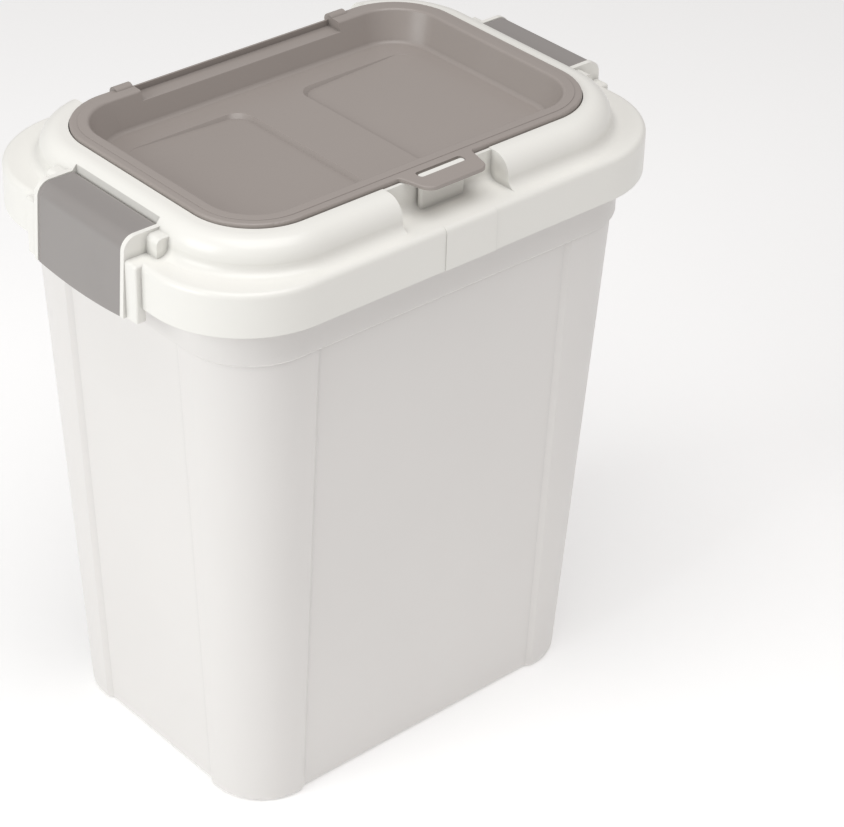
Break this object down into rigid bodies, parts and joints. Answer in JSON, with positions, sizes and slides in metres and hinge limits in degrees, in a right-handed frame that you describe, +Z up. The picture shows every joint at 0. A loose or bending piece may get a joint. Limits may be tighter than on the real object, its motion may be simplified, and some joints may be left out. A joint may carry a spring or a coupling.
{
  "type": "pet food bin",
  "caption": "Tapered tub for dry pet food, with a clip-on lid, a hinged pouring flap with a finger tab, and side latches that hook under the rim.",
  "frame": {"origin": "the middle of the bin's footprint, on the floor", "axes": "+X along the long side towards the right latch, +Y towards the flap's hinge at the back, +Z up"},
  "size_m": [0.4018, 0.2776, 0.4537],
  "materials": {
    "tub_plastic": "white moulded polypropylene, satin",
    "lid_plastic": "white moulded polypropylene, semi-gloss",
    "grey_plastic": "warm grey moulded polypropylene, satin",
    "seal_rubber": "soft white silicone gasket",
    "pin_steel": "plain drawn steel pin"
  },
  "bodies": {
    "tub": {"bin_body": "tub_plastic"},
    "lid": {"lid_frame": "lid_plastic", "lid_seal": "seal_rubber", "flap_seal": "seal_rubber", "latch_pin_left": "pin_steel", "latch_pin_right": "pin_steel"},
    "pouring_flap": {"flap": "grey_plastic", "hinge_pin_left": "pin_steel", "hinge_pin_right": "pin_steel"},
    "left_latch": {"latch_left": "grey_plastic"},
    "right_latch": {"latch_right": "grey_plastic"}
  },
  "joints": [
    {"name": "lid_lift", "type": "slide", "parent": "tub", "child": "lid", "axis": [0, 0, 1], "range_m": [0, 0.08]},
    {"name": "flap_hinge", "type": "hinge", "parent": "lid", "child": "pouring_flap", "pos_m": [0, 0.1025, 0.4492], "axis": [-1, 0, 0], "range_deg": [0, 95]},
    {"name": "latch_left_hinge", "type": "hinge", "parent": "lid", "child": "left_latch", "pos_m": [-0.1726, 0, 0.4382], "axis": [0, 1, 0], "range_deg": [0, 70]},
    {"name": "latch_right_hinge", "type": "hinge", "parent": "lid", "child": "right_latch", "pos_m": [0.1726, 0, 0.4382], "axis": [0, -1, 0], "range_deg": [0, 70]}
  ]
}
